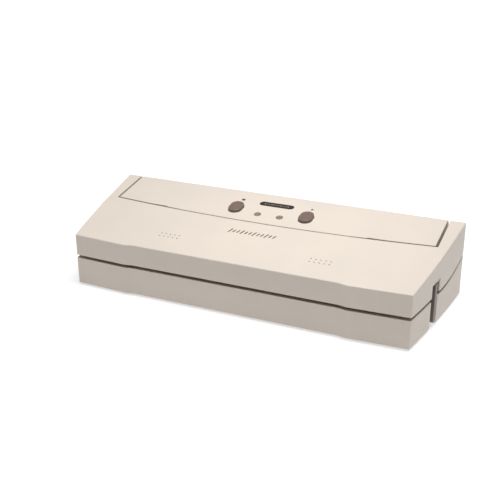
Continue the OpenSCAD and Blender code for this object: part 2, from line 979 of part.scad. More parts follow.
module power_inlet() {
    left = inlet_x - inlet_width / 2;
    low = inlet_z - inlet_height / 2;
    color(BLACK) difference() {
        box(left, left + inlet_width, inlet_front, rear_reach, low, low + inlet_height);
        translate([inlet_x, rear_y - socket_depth, inlet_z]) rotate([-90, 0, 0]) {
            linear_extrude(2 * socket_depth) {
                for (x = [-socket_offset, socket_offset])
                    translate([x, 0]) circle(r = socket_r);
                square([2 * socket_offset, 2 * socket_r - 1], center = true);
            }
        }
    }
}

module inlet_pins() {
    base = rear_reach - socket_depth;
    color(BRASS) for (x = [-socket_offset, socket_offset])
        rod_y(inlet_x + x, base, base + inlet_pin_length, inlet_z, inlet_pin_r);
}

// ---- Lid body ----

module lid_shell() {
    color(BEIGE) difference() {
        union() {
            difference() {
                lid_outer();
                difference() {
                    lid_block(wall);
                    housing_bay(wall);
                }
            }
            intersection() {
                lid_outer();
                union() {
                    posts(lid_posts, post_r, liner_top_z, far);
                    both_sides()
                        rod_x(arm_inner_x, arm_inner_x + arm_boss, hinge_reach, hinge_z, boss_r);
                }
            }
        }
        posts(lid_posts, screw_r, 0, liner_top_z + lid_screw_length + thread_room);
        both_sides() rod_x(arm_inner_x - cut, arm_inner_x + arm_pin + 1, hinge_reach, hinge_z,
            hinge_pin_r + running_fit);
        both_sides() box(slot_inner_x, far, notch_front, notch_rear, 0, notch_top_z);
        both_sides() scoop();
    }
}

module scoop() {
    translate([scoop_x, front_y + scoop_reach, notch_top_z - cut]) rotate([0, scoop_lean, 0])
        cylinder(r = scoop_r, h = scoop_height, $fn = 180);
}

module lid_outer() {
    difference() {
        intersection() {
            lid_block();
            across() above_parting();
        }
        housing_bay();
    }
}

module lid_liner() {
    color(BEIGE_SHADE) difference() {
        union() {
            difference() {
                intersection() {
                    outline_solid(wall + play, liner_z, liner_top_z);
                    box(-far, far, -body_depth, liner_rear, 0, far);
                }
                behind_seam(wall + play);
            }
            box(-trough_x - 2 * wall, trough_x + 2 * wall, trough_front - wall, trough_rear + wall,
                liner_z, chamber_roof_z + wall);
        }
        box(-trough_x - wall, trough_x + wall, trough_front, trough_rear, 0, chamber_roof_z);
        gasket_loop(0, liner_z + gasket_seat, play);
        box(-bar_x - play, bar_x + play, bar_front - play, bar_rear + play, 0,
            liner_z + gasket_seat);
        screw_bores(lid_posts, liner_z, liner_top_z);
        both_sides() box(slot_inner_x, far, notch_front + 1, notch_rear, 0, far);
    }
}

module upper_gasket() {
    color(SILICONE) gasket_loop(gasket_meet_z + 0.05, liner_z + gasket_seat);
}

module pressure_strip() {
    color(SILICONE) box(-bar_x, bar_x, bar_front, bar_rear, gasket_meet_z + 0.3,
        liner_z + gasket_seat);
}

module lid_screws() {
    color(STEEL) screws_up(lid_posts, liner_z + play, lid_screw_length);
}

module lid_catches() {
    color(STEEL) both_sides()
        box(slot_inner_x - 4, catch_x, notch_front + 1 - catch_length, notch_front + 1,
            liner_top_z, liner_top_z + catch_thickness);
}

// ---- Moving controls ----

module button(x) {
    on_panel(x, button_reach) {
        button_block(0, -flange_depth, button_rise);
        button_block(button_flange, -flange_depth, button_flange_height - flange_depth);
        translate([0, 0, -flange_depth - button_stem]) cylinder(r = button_stem_r, h = button_stem);
    }
}

module stop_button() {
    color(TAUPE) button(-button_x);
}

module start_button() {
    color(TAUPE) button(button_x);
}

// Right-hand latch lever: a round foot on its pivot, an upright bar and a hook that faces forward
module latch() {
    inner = latch_outer_x - latch_thickness;
    half = latch_width / 2;
    difference() {
        union() {
            rod_x(inner, latch_outer_x, latch_reach, latch_pivot_z, half);
            box(inner, latch_outer_x, latch_reach - half, latch_reach + half,
                latch_pivot_z, latch_top_z);
            box(inner, inner + hook_x, latch_reach - half - hook_reach, latch_reach,
                hook_z, latch_top_z);
        }
        rod_x(inner - cut, latch_outer_x - pin_cover + play, latch_reach, latch_pivot_z,
            latch_pin_r + running_fit);
    }
}

module latch_left() {
    color(TAUPE) mirror([1, 0, 0]) latch();
}

module latch_right() {
    color(TAUPE) latch();
}

base_shell();
bottom_cover();
rubber_feet();
cover_screws();
control_housing();
housing_screws();
display_strip();
lamp_vacuum();
lamp_seal();
lamp_leds();
circuit_board();
board_screws();
board_components();
button_switches();
transformer_core();
transformer_winding();
pump_motor();
motor_cradle();
pump_crankcase();
connecting_rod();
diaphragm();
valve_cover();
vacuum_hose();
suction_nozzle();
lower_gasket();
mains_wires();
board_wires();
motor_wires();
heater_wires();
heater_carrier();
heating_ribbon();
heater_tape();
heater_terminals();
hinge_pins();
latch_pins();
power_inlet();
inlet_pins();
lid_shell();
lid_liner();
upper_gasket();
pressure_strip();
lid_screws();
lid_catches();
stop_button();
start_button();
latch_left();
latch_right();
motor_shaft();
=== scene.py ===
import json
import math

import bmesh
import bpy
from mathutils import Matrix, Vector


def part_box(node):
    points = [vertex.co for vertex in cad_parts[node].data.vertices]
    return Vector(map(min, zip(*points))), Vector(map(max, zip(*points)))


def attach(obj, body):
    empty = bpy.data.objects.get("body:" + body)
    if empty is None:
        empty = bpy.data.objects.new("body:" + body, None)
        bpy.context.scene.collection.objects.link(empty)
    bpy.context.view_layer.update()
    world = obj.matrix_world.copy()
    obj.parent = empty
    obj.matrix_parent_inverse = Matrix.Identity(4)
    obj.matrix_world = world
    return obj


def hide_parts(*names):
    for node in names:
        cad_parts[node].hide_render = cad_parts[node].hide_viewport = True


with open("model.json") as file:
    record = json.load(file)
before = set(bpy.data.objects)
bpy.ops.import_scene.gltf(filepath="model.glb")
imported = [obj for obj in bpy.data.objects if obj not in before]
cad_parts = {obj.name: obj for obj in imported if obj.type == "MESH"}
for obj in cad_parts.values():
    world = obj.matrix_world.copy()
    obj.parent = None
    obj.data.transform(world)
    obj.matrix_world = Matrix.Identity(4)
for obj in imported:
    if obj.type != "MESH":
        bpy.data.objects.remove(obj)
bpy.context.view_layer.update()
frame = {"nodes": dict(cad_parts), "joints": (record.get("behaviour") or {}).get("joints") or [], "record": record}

MM = 0.001

# ---------------------------------------------------------------- camera, light and floor

VIEW_AZIMUTH = 24.78
VIEW_ELEVATION = 22.49
VIEW_ROLL = -0.30
VIEW_DISTANCE = 0.9395
VIEW_LENS = 63.2
VIEW_TARGET = Vector((-0.0161, 0.0, 0.0467))
SENSOR_WIDTH = 36.0
NEAR_CLIP = 0.01

WHITE = (1.0, 1.0, 1.0)
WORLD_STRENGTH = 0.15
# Azimuth, elevation and spread in degrees, and strength
CEILING_LIGHT = (72, 80, 40, 2.9)
SOFTBOX_PLACE = (0.04, -0.02, 0.52)
SOFTBOX_SIZE = 0.16
SOFTBOX_POWER = 1.10
FLOOR_HALF = 8.0
FLOOR_DROP = 0.05 * MM
FLOOR_GLOW = 0.56


def direction(azimuth, elevation):
    """Unit vector towards a place seen at this azimuth and elevation, in degrees."""
    a, e = math.radians(azimuth), math.radians(elevation)
    return Vector((math.sin(a) * math.cos(e), -math.cos(a) * math.cos(e), math.sin(e)))


def link(obj):
    bpy.context.scene.collection.objects.link(obj)
    return obj


def add_camera():
    back = direction(VIEW_AZIMUTH, VIEW_ELEVATION)
    camera = link(bpy.data.objects.new("camera", bpy.data.cameras.new("camera")))
    camera.data.lens = VIEW_LENS
    camera.data.sensor_width = SENSOR_WIDTH
    camera.data.clip_start = NEAR_CLIP
    roll = Matrix.Rotation(math.radians(VIEW_ROLL), 4, "Z")
    aim = (-back).to_track_quat("-Z", "Y").to_matrix().to_4x4()
    camera.matrix_world = Matrix.Translation(VIEW_TARGET + back * VIEW_DISTANCE) @ aim @ roll
    bpy.context.scene.camera = camera


def add_softbox(name, place, size, power):
    """A square area light above the object that faces straight down."""
    light = bpy.data.lights.new(name, "AREA")
    light.size = size
    light.energy = power
    link(bpy.data.objects.new(name, light)).location = place


def add_sun(name, azimuth, elevation, spread, strength, colour):
    """A distant light, spread degrees wide, so that its shadows are soft."""
    light = bpy.data.lights.new(name, "SUN")
    light.energy = strength
    light.angle = math.radians(spread)
    light.color = colour
    sun = link(bpy.data.objects.new(name, light))
    sun.rotation_mode = "QUATERNION"
    sun.rotation_quaternion = direction(azimuth, elevation).to_track_quat("Z", "Y")


def add_world(colour, strength):
    world = bpy.data.worlds.new("studio")
    world.use_nodes = True
    background = world.node_tree.nodes["Background"]
    background.inputs["Color"].default_value = (*colour, 1.0)
    background.inputs["Strength"].default_value = strength
    bpy.context.scene.world = world


def add_floor(half):
    mesh = bpy.data.meshes.new("floor")
    corners = [(-half, -half, 0), (half, -half, 0), (half, half, 0), (-half, half, 0)]
    mesh.from_pydata(corners, [], [(0, 1, 2, 3)])
    floor = link(bpy.data.objects.new("floor", mesh))
    floor.location.z = -FLOOR_DROP
    mesh.materials.append(paper())


# ---------------------------------------------------------------- materials


class Finish:
    """A principled material that is built up step by step in object coordinates."""

    def __init__(self, name, colour, roughness, **uniform):
        self.material = bpy.data.materials.new(name)
        self.material.use_nodes = True
        self.nodes = self.material.node_tree.nodes
        self.links = self.material.node_tree.links
        self.shader = self.nodes["Principled BSDF"]
        self.set(**{"Base Color": (*colour, 1.0), "Roughness": roughness}, **uniform)
        self.colour = colour
        self.roughness = roughness
        self.place = self.nodes.new("ShaderNodeTexCoord").outputs["Object"]
        self.normal = None

    def set(self, **values):
        for socket, value in values.items():
            self.shader.inputs[socket.replace("_", " ")].default_value = value

    def node(self, kind, **values):
        made = self.nodes.new(kind)
        for key, value in values.items():
            if hasattr(value, "links"):
                self.links.new(value, made.inputs[key.replace("_", " ")])
            else:
                made.inputs[key.replace("_", " ")].default_value = value
        return made

    def noise(self, size, detail=2.0, stretch=(1.0, 1.0, 1.0)):
        """Noise whose features measure about size metres, longer where stretch is above 1."""
        scaled = self.nodes.new("ShaderNodeVectorMath")
        scaled.operation = "DIVIDE"
        self.links.new(self.place, scaled.inputs[0])
        scaled.inputs[1].default_value = stretch
        made = self.node("ShaderNodeTexNoise", Vector=scaled.outputs[0], Scale=1.0 / size)
        made.inputs["Detail"].default_value = detail
        return made.outputs["Fac"]

    def bands(self, size, axis):
        """Parallel ridges, size metres apart, stacked along an axis."""
        made = self.node("ShaderNodeTexWave", Vector=self.place, Scale=1.0 / size * 0.314)
        made.wave_profile = "SIN"
        made.bands_direction = axis
        return made.outputs["Fac"]

    def ramp(self, value, low, high):
        """Stretches the part of a 0 to 1 pattern between low and high over 0 to 1."""
        made = self.node("ShaderNodeMapRange", Value=value, From_Min=low, From_Max=high)
        return made.outputs["Result"]

    def math(self, operation, a, b):
        made = self.nodes.new("ShaderNodeMath")
        made.operation = operation
        for socket, value in zip(made.inputs, (a, b)):
            if hasattr(value, "links"):
                self.links.new(value, socket)
            else:
                socket.default_value = value
        return made.outputs[0]

    def mottle(self, pattern, other, amount=1.0):
        """Mixes the colour with another where the pattern is high."""
        mix = self.nodes.new("ShaderNodeMix")
        mix.data_type = "RGBA"
        factor = self.math("MULTIPLY", pattern, amount)
        self.links.new(factor, mix.inputs["Factor"])
        linked = self.shader.inputs["Base Color"].links
        if linked:
            self.links.new(linked[0].from_socket, mix.inputs["A"])
        else:
            mix.inputs["A"].default_value = (*self.colour, 1.0)
        mix.inputs["B"].default_value = (*other, 1.0)
        self.links.new(mix.outputs["Result"], self.shader.inputs["Base Color"])
        return self

    def polish(self, pattern, low, high):
        """Lets the roughness run from low to high with the pattern."""
        made = self.node("ShaderNodeMapRange", Value=pattern, To_Min=low, To_Max=high)
        self.links.new(made.outputs["Result"], self.shader.inputs["Roughness"])
        return self

    def relief(self, pattern, depth, strength=1.0):
        """Adds bumps of this depth in metres on top of those already there."""
        bump = self.node("ShaderNodeBump", Height=pattern, Distance=depth, Strength=strength)
        if self.normal is not None:
            self.links.new(self.normal, bump.inputs["Normal"])
        self.normal = bump.outputs["Normal"]
        self.links.new(self.normal, self.shader.inputs["Normal"])
        return self


def tinted(colour, factor):
    return tuple(min(1.0, c * f) for c, f in zip(colour, factor))


def moulded(name, colour, roughness, grain=0.35 * MM, depth=0.012 * MM, **uniform):
    """Injection-moulded plastic: spark-eroded grain, slow tone changes and uneven polish."""
    made = Finish(name, colour, roughness, **uniform)
    slow = made.noise(60 * MM, 2.0)
    fine = made.noise(grain, 3.0)
    made.mottle(made.ramp(slow, 0.35, 0.65), tinted(colour, (0.955, 0.96, 0.97)), 0.8)
    made.mottle(made.ramp(fine, 0.45, 0.75), tinted(colour, (0.93, 0.93, 0.93)), 0.25)
    made.polish(made.noise(9 * MM, 3.0), roughness - 0.07, roughness + 0.07)
    made.relief(made.noise(14 * MM, 1.0), 0.03 * MM, 0.3)
    made.relief(fine, depth, 0.6)
    return made.material


def paper():
    """White paper on a light table, so that shadows on it stay pale."""
    made = Finish("floor", (0.45, 0.45, 0.45), 0.95)
    made.mottle(made.noise(0.7, 1.0), (0.44, 0.44, 0.445), 0.5)
    made.set(Emission_Color=(*WHITE, 1.0), Emission_Strength=FLOOR_GLOW)
    return made.material


def casing():
    return moulded("casing", (0.600, 0.534, 0.465), 0.46)


def casing_inner():
    return moulded("casing_inner", (0.40, 0.36, 0.315), 0.55, grain=0.6 * MM, depth=0.02 * MM)


def control_plastic():
    return moulded("control_plastic", (0.152, 0.108, 0.090), 0.42, grain=0.25 * MM)


def black_plastic():
    return moulded("black_plastic", (0.035, 0.034, 0.033), 0.45)


def white_plastic():
    return moulded("white_plastic", (0.74, 0.74, 0.72), 0.38)


def lamp_lens():
    """Smoked lens with a frosted underside that shows through as a soft mottle."""
    made = Finish("lamp_lens", (0.215, 0.168, 0.145), 0.22, Coat_Weight=0.5, Coat_Roughness=0.12)
    made.set(Subsurface_Weight=0.15, Subsurface_Radius=(0.002, 0.0015, 0.001))
    made.mottle(made.ramp(made.noise(0.8 * MM, 2.0), 0.4, 0.7), (0.27, 0.22, 0.19), 0.6)
    made.polish(made.noise(2 * MM), 0.18, 0.3)
    made.relief(made.noise(0.5 * MM), 0.01 * MM, 0.4)
    return made.material


def label():
    """Dark printed strip under a thin clear film."""
    made = Finish("label", (0.026, 0.017, 0.012), 0.32, Coat_Weight=0.35, Coat_Roughness=0.15)
    made.mottle(made.noise(3 * MM, 3.0), (0.042, 0.031, 0.026), 0.8)
    made.polish(made.noise(1.5 * MM, 3.0), 0.26, 0.4)
    made.relief(made.noise(4 * MM), 0.01 * MM, 0.4)
    return made.material


def rubber():
    made = Finish("foot_rubber", (0.028, 0.027, 0.026), 0.72)
    made.mottle(made.ramp(made.noise(1.2 * MM, 4.0), 0.45, 0.7), (0.06, 0.058, 0.055), 0.7)
    made.polish(made.noise(4 * MM, 3.0), 0.62, 0.85)
    made.relief(made.noise(0.3 * MM, 3.0), 0.03 * MM, 0.7)
    return made.material


def foam():
    """Closed-cell foam: small cells with dark walls between them."""
    made = Finish("seal_foam", (0.075, 0.070, 0.066), 0.9, Sheen_Weight=0.2, Sheen_Roughness=0.6)
    cells = made.node("ShaderNodeTexVoronoi", Vector=made.place, Scale=1.0 / (0.7 * MM))
    cells = cells.outputs["Distance"]
    made.mottle(made.ramp(cells, 0.3, 0.7), (0.030, 0.028, 0.026), 0.8)
    made.mottle(made.noise(12 * MM, 2.0), (0.11, 0.10, 0.095), 0.5)
    made.polish(made.noise(3 * MM), 0.8, 1.0)
    made.relief(cells, 0.12 * MM, 0.8)
    return made.material


def silicone():
    made = Finish("silicone", (0.40, 0.155, 0.105), 0.5)
    made.set(Subsurface_Weight=0.2, Subsurface_Radius=(0.003, 0.001, 0.0006))
    made.mottle(made.noise(8 * MM, 3.0), (0.33, 0.125, 0.085), 0.7)
    made.mottle(made.ramp(made.noise(0.9 * MM, 4.0), 0.55, 0.75), (0.55, 0.33, 0.27), 0.35)
    made.polish(made.noise(5 * MM, 3.0), 0.42, 0.62)
    made.relief(made.noise(0.5 * MM, 2.0), 0.02 * MM, 0.6)
    return made.material


def hose():
    made = Finish("hose", (0.60, 0.58, 0.53), 0.34, Transmission_Weight=0.35, IOR=1.41)
    made.mottle(made.noise(6 * MM, 3.0), (0.52, 0.49, 0.43), 0.7)
    made.polish(made.noise(3 * MM, 2.0), 0.28, 0.44)
    made.relief(made.bands(1.2 * MM, "Y"), 0.02 * MM, 0.5)
    return made.material


def tape():
    """Glass cloth coated with PTFE: a plain weave of flat brown threads."""
    made = Finish("tape", (0.20, 0.120, 0.066), 0.42, Sheen_Weight=0.15, Sheen_Roughness=0.5)
    thread = 0.9 * MM
    weave = made.math("MULTIPLY", made.bands(thread, "X"), made.bands(thread, "Y"))
    made.mottle(weave, (0.30, 0.195, 0.115), 0.7)
    made.mottle(made.noise(18 * MM, 3.0), (0.13, 0.076, 0.042), 0.5)
    made.polish(made.noise(6 * MM, 2.0), 0.35, 0.52)
    made.relief(weave, 0.06 * MM, 0.8)
    return made.material


def metal(name, colour, roughness, stretch, stain):
    """Plated or drawn metal with fine lines along one direction."""
    made = Finish(name, colour, roughness, Metallic=1.0)
    lines = made.noise(0.25 * MM, 3.0, stretch)
    made.mottle(lines, tinted(colour, (0.82, 0.82, 0.83)), 0.6)
    made.mottle(made.ramp(made.noise(7 * MM, 4.0), 0.55, 0.8), stain, 0.35)
    made.polish(made.noise(3 * MM, 4.0), roughness - 0.08, roughness + 0.12)
    made.relief(lines, 0.008 * MM, 0.6)
    return made.material


def steel():
    return metal("steel", (0.60, 0.61, 0.63), 0.30, (12.0, 1.0, 1.0), (0.40, 0.39, 0.38))


def brass():
    return metal("brass", (0.72, 0.53, 0.25), 0.28, (1.0, 12.0, 1.0), (0.45, 0.30, 0.14))


def copper_wire():
    """Enamelled wire: round turns side by side, seen edge on, with painted shade in the grooves between the turns.
    """
    made = Finish("copper_wire", (0.50, 0.19, 0.075), 0.25, Metallic=0.85, Coat_Weight=0.7)
    turns = made.bands(0.6 * MM, "Z")
    # Painted shade: the colour darkens in the grooves between the turns, where the relief is lowest
    made.mottle(made.math("SUBTRACT", 1.0, turns), (0.16, 0.05, 0.02), 0.8)
    made.mottle(made.noise(5 * MM, 3.0), (0.42, 0.20, 0.09), 0.5)
    made.polish(made.noise(2 * MM, 2.0), 0.18, 0.36)
    made.relief(turns, 0.12 * MM, 0.9)
    return made.material


def board():
    """Green solder mask over copper tracks that show as lighter, slightly raised lines."""
    made = Finish("board", (0.020, 0.120, 0.050), 0.30, Coat_Weight=0.4, Coat_Roughness=0.2)
    tracks = made.node("ShaderNodeTexVoronoi", Vector=made.place, Scale=1.0 / (5 * MM))
    tracks.feature = "DISTANCE_TO_EDGE"
    lines = made.ramp(tracks.outputs["Distance"], 0.11, 0.07)
    made.mottle(lines, (0.045, 0.235, 0.085), 0.9)
    made.mottle(made.noise(20 * MM, 2.0), (0.016, 0.090, 0.042), 0.5)
    made.polish(made.noise(2 * MM, 3.0), 0.24, 0.4)
    made.relief(lines, 0.03 * MM, 0.7)
    return made.material


def ink():
    """Flat dark-brown pad print."""
    made = Finish("ink", (0.045, 0.033, 0.027), 0.6)
    made.mottle(made.ramp(made.noise(0.5 * MM, 3.0), 0.5, 0.75), (0.09, 0.070, 0.058), 0.6)
    made.polish(made.noise(1 * MM), 0.5, 0.7)
    made.relief(made.noise(0.3 * MM), 0.01 * MM, 0.4)
    return made.material


def pale_ink():
    made = Finish("pale_ink", (0.30, 0.265, 0.24), 0.6)
    made.mottle(made.noise(0.6 * MM, 3.0), (0.25, 0.215, 0.19), 0.8)
    made.polish(made.noise(1 * MM), 0.5, 0.7)
    return made.material


MATERIALS = {
    "casing": casing(),
    "casing_inner": casing_inner(),
    "control_plastic": control_plastic(),
    "lamp_lens": lamp_lens(),
    "label": label(),
    "foot_rubber": rubber(),
    "seal_foam": foam(),
    "silicone": silicone(),
    "hose": hose(),
    "black_plastic": black_plastic(),
    "white_plastic": white_plastic(),
    "tape": tape(),
    "steel": steel(),
    "brass": brass(),
    "copper_wire": copper_wire(),
    "board": board(),
}
INK = ink()
PALE_INK = pale_ink()


def dress_nodes():
    """Gives each CAD node the material of its slot in the record."""
    for row in frame["record"]["subparts"]:
        node = frame["nodes"][row["node"]]
        node.data.materials.clear()
        node.data.materials.append(MATERIALS[row["material_slot"]])


# ---------------------------------------------------------------- edges of the CAD nodes

# Edges above SHARP stay sharp in the shading, and those above CONVEX are rounded
SHARP = math.radians(35)
CONVEX = math.radians(25)
# A probe leaves each edge outwards: if it hits the same node, the edge isn't exposed
PROBE_LIFT = 0.2 * MM
PROBE_LENGTH = 0.5
WELD_DISTANCE = 0.005 * MM
FLAT_ANGLE = math.radians(0.15)
NOWHERE = ((9.0, 9.0, 9.0), (9.0, 9.0, 9.0))
LID_EDGE = 1.0 * MM
ARM_EDGE = 2.4 * MM
CASING_EDGE = 0.9 * MM
RIM_EDGE = 0.35 * MM
# The arms' broad rounding ends this far in front of the housing's rear
ARM_REAR_GAP = 18 * MM
ARM_SIDE_GAP = 4 * MM
ARM_LOW = 26 * MM
PANEL_INSET = 4 * MM
BUTTON_FACE_DEPTH = 4.5 * MM
SMALL_EDGES = {
    "latch_left": 0.7 * MM, "latch_right": 0.7 * MM, "lower_gasket": 1.2 * MM,
    "upper_gasket": 0.8 * MM, "pressure_strip": 0.7 * MM, "power_inlet": 0.5 * MM,
    "bottom_cover": 0.5 * MM, "lid_liner": 0.6 * MM, "lamp_vacuum": 0.3 * MM,
    "lamp_seal": 0.3 * MM,
}


def edge_marks():
    """Geometry nodes that weight the exposed, convex, sharp edges outside a box for the bevel.

    The weight is Plain, Fine inside the Fine box, and grows to 1 along Y through the Broad box.
    All boxes are tested on the distance from the middle, so they count on both sides.
    """
    group = bpy.data.node_groups.new("mark_exposed_edges", "GeometryNodeTree")
    add = group.interface.new_socket
    add("Geometry", in_out="INPUT", socket_type="NodeSocketGeometry")
    for name in ("Skip", "Fine", "Broad"):
        add(name + " Low", in_out="INPUT", socket_type="NodeSocketVector")
        add(name + " High", in_out="INPUT", socket_type="NodeSocketVector")
    add("Plain Weight", in_out="INPUT", socket_type="NodeSocketFloat")
    add("Fine Weight", in_out="INPUT", socket_type="NodeSocketFloat")
    add("Geometry", in_out="OUTPUT", socket_type="NodeSocketGeometry")
    make, join = group.nodes.new, group.links.new
    start, end = make("NodeGroupInput"), make("NodeGroupOutput")
    place, normal = make("GeometryNodeInputPosition"), make("GeometryNodeInputNormal")
    angle = make("GeometryNodeInputMeshEdgeAngle")

    def plug(value, socket):
        if hasattr(value, "links"):
            join(value, socket)
        else:
            socket.default_value = value

    def compare(operation, a, b, kind="FLOAT"):
        node = make("FunctionNodeCompare")
        node.data_type = kind
        node.operation = operation
        if kind == "VECTOR":
            node.mode = "ELEMENT"
        sockets = [s for s in node.inputs if s.enabled]
        for socket, value in zip(sockets, (a, b)):
            plug(value, socket)
        return node.outputs[0]

    def logic(operation, *values):
        node = make("FunctionNodeBooleanMath")
        node.operation = operation
        for socket, value in zip(node.inputs, values):
            join(value, socket)
        return node.outputs[0]

    def pick(switch, no, yes):
        node = make("GeometryNodeSwitch")
        node.input_type = "FLOAT"
        plug(switch, node.inputs["Switch"])
        plug(no, node.inputs["False"])
        plug(yes, node.inputs["True"])
        return node.outputs[0]

    def part(vector, axis):
        node = make("ShaderNodeSeparateXYZ")
        join(vector, node.inputs[0])
        return node.outputs[axis]

    beside = make("ShaderNodeCombineXYZ")
    width = make("ShaderNodeMath")
    width.operation = "ABSOLUTE"
    join(part(place.outputs[0], "X"), width.inputs[0])
    join(width.outputs[0], beside.inputs["X"])
    join(part(place.outputs[0], "Y"), beside.inputs["Y"])
    join(part(place.outputs[0], "Z"), beside.inputs["Z"])

    def inside(name):
        above = compare("GREATER_THAN", beside.outputs[0], start.outputs[name + " Low"], "VECTOR")
        below = compare("LESS_THAN", beside.outputs[0], start.outputs[name + " High"], "VECTOR")
        return logic("AND", above, below)

    grown = make("ShaderNodeMapRange")
    grown.interpolation_type = "SMOOTHSTEP"
    plug(part(beside.outputs[0], "Y"), grown.inputs["Value"])
    plug(part(start.outputs["Broad Low"], "Y"), grown.inputs["From Min"])
    plug(part(start.outputs["Broad High"], "Y"), grown.inputs["From Max"])
    plug(start.outputs["Plain Weight"], grown.inputs["To Min"])
    weight = pick(inside("Broad"), start.outputs["Plain Weight"], grown.outputs["Result"])
    weight = pick(inside("Fine"), weight, start.outputs["Fine Weight"])

    lift = make("ShaderNodeVectorMath")
    lift.operation = "MULTIPLY_ADD"
    join(normal.outputs[0], lift.inputs[0])
    lift.inputs[1].default_value = (PROBE_LIFT, PROBE_LIFT, PROBE_LIFT)
    join(place.outputs[0], lift.inputs[2])
    ray = make("GeometryNodeRaycast")
    join(start.outputs[0], ray.inputs["Target Geometry"])
    join(lift.outputs[0], ray.inputs["Source Position"])
    join(normal.outputs[0], ray.inputs["Ray Direction"])
    ray.inputs["Ray Length"].default_value = PROBE_LENGTH
    sharp = compare("GREATER_THAN", angle.outputs["Signed Angle"], CONVEX)
    shown = logic("AND", sharp, logic("NOT", ray.outputs["Is Hit"]))
    chosen = logic("AND", shown, logic("NOT", inside("Skip")))
    store = make("GeometryNodeStoreNamedAttribute")
    store.data_type = "FLOAT"
    store.domain = "EDGE"
    store.inputs["Name"].default_value = "bevel_weight_edge"
    join(start.outputs[0], store.inputs["Geometry"])
    join(chosen, store.inputs["Selection"])
    join(weight, store.inputs["Value"])
    join(store.outputs[0], end.inputs[0])
    return group


def smoothing():
    """Geometry nodes that shade faces smooth and keep the edges above an angle sharp."""
    group = bpy.data.node_groups.new("smooth_by_angle", "GeometryNodeTree")
    for way in ("INPUT", "OUTPUT"):
        group.interface.new_socket("Geometry", in_out=way, socket_type="NodeSocketGeometry")
    make, join = group.nodes.new, group.links.new
    start, end = make("NodeGroupInput"), make("NodeGroupOutput")
    forget = make("GeometryNodeRemoveAttribute")
    forget.inputs["Name"].default_value = "custom_normal"
    faces = make("GeometryNodeSetShadeSmooth")
    angle = make("GeometryNodeInputMeshEdgeAngle")
    over = make("FunctionNodeCompare")
    over.operation = "GREATER_THAN"
    over.inputs[1].default_value = SHARP
    edges = make("GeometryNodeSetShadeSmooth")
    edges.domain = "EDGE"
    edges.inputs["Shade Smooth"].default_value = False
    join(start.outputs[0], forget.inputs["Geometry"])
    join(forget.outputs[0], faces.inputs["Geometry"])
    join(faces.outputs[0], edges.inputs["Geometry"])
    join(angle.outputs["Unsigned Angle"], over.inputs[0])
    join(over.outputs[0], edges.inputs["Selection"])
    join(edges.outputs[0], end.inputs[0])
    return group


MARKS = edge_marks()
SMOOTHING = smoothing()


def soften(name, width, segments=3, skip=NOWHERE, fine=NOWHERE, fine_width=0,
           broad=NOWHERE, broad_width=0):
    """Rounds a CAD node's exposed edges with modifiers, except inside the skip box.

    Edges inside the fine box get fine_width, and those inside the broad box grow to broad_width.
    """
    node = frame["nodes"][name]
    most = max(width, broad_width)
    weld = node.modifiers.new("weld", "WELD")
    weld.merge_threshold = WELD_DISTANCE
    flatten = node.modifiers.new("flatten", "DECIMATE")
    flatten.decimate_type = "DISSOLVE"
    flatten.angle_limit = FLAT_ANGLE
    marks = node.modifiers.new("marks", "NODES")
    marks.node_group = MARKS
    sockets = {s.name: s.identifier for s in MARKS.interface.items_tree if s.in_out == "INPUT"}
    for label, (low, high) in (("Skip", skip), ("Fine", fine), ("Broad", broad)):
        marks[sockets[label + " Low"]] = low
        marks[sockets[label + " High"]] = high
    marks[sockets["Plain Weight"]] = width / most
    marks[sockets["Fine Weight"]] = fine_width / most
    bevel = node.modifiers.new("bevel", "BEVEL")
    bevel.width = most
    bevel.segments = segments
    bevel.limit_method = "WEIGHT"
    bevel.use_clamp_overlap = False
    smooth = node.modifiers.new("smooth", "NODES")
    smooth.node_group = SMOOTHING
    normals = node.modifiers.new("normals", "WEIGHTED_NORMAL")
    normals.keep_sharp = True


def finish_edges():
    low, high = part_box("control_housing")
    lid_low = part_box("lid_shell")[0]
    base_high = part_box("lower_gasket")[1]
    panel = ((-1.0, low.y + PANEL_INSET, low.z + PANEL_INSET), (high.x - PANEL_INSET, 1.0, 1.0))
    lid_rim = ((-1.0, -1.0, lid_low.z - MM), (1.0, 1.0, lid_low.z + 2 * MM))
    base_rim = ((-1.0, -1.0, base_high.z - 4 * MM), (1.0, low.y, base_high.z))
    arms = ((high.x + ARM_SIDE_GAP, low.y, low.z + ARM_LOW), (1.0, high.y - ARM_REAR_GAP, 1.0))
    soften("lid_shell", LID_EDGE, fine=lid_rim, fine_width=RIM_EDGE, broad=arms,
           broad_width=ARM_EDGE)
    soften("base_shell", CASING_EDGE, fine=base_rim, fine_width=RIM_EDGE)
    soften("control_housing", CASING_EDGE, skip=panel)
    for name, width in SMALL_EDGES.items():
        soften(name, width, 2)
    for name in ("stop_button", "start_button"):
        below_face = ((-1.0, -1.0, -1.0), (1.0, 1.0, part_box(name)[1].z - BUTTON_FACE_DEPTH))
        soften(name, CASING_EDGE, skip=below_face)


# ---------------------------------------------------------------- printed marks and small parts


def joint_axis(name):
    return Vector(next(j["axis"] for j in frame["joints"] if j["name"] == name))


PANEL_OUT = -joint_axis("stop_press")
PANEL_UP = Vector((0.0, PANEL_OUT.z, -PANEL_OUT.y))
STRIP_LOW, STRIP_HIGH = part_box("display_strip")
STRIP_CENTRE = (STRIP_LOW + STRIP_HIGH) / 2
STRIP_TOP = 0.1 * MM
PANEL_DEPTH = 0.2 * MM
PANEL_ORIGIN = STRIP_CENTRE + PANEL_OUT * PANEL_DEPTH
FRONT_SWEEP = 3 * MM
FRONT_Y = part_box("lid_shell")[0].y + FRONT_SWEEP

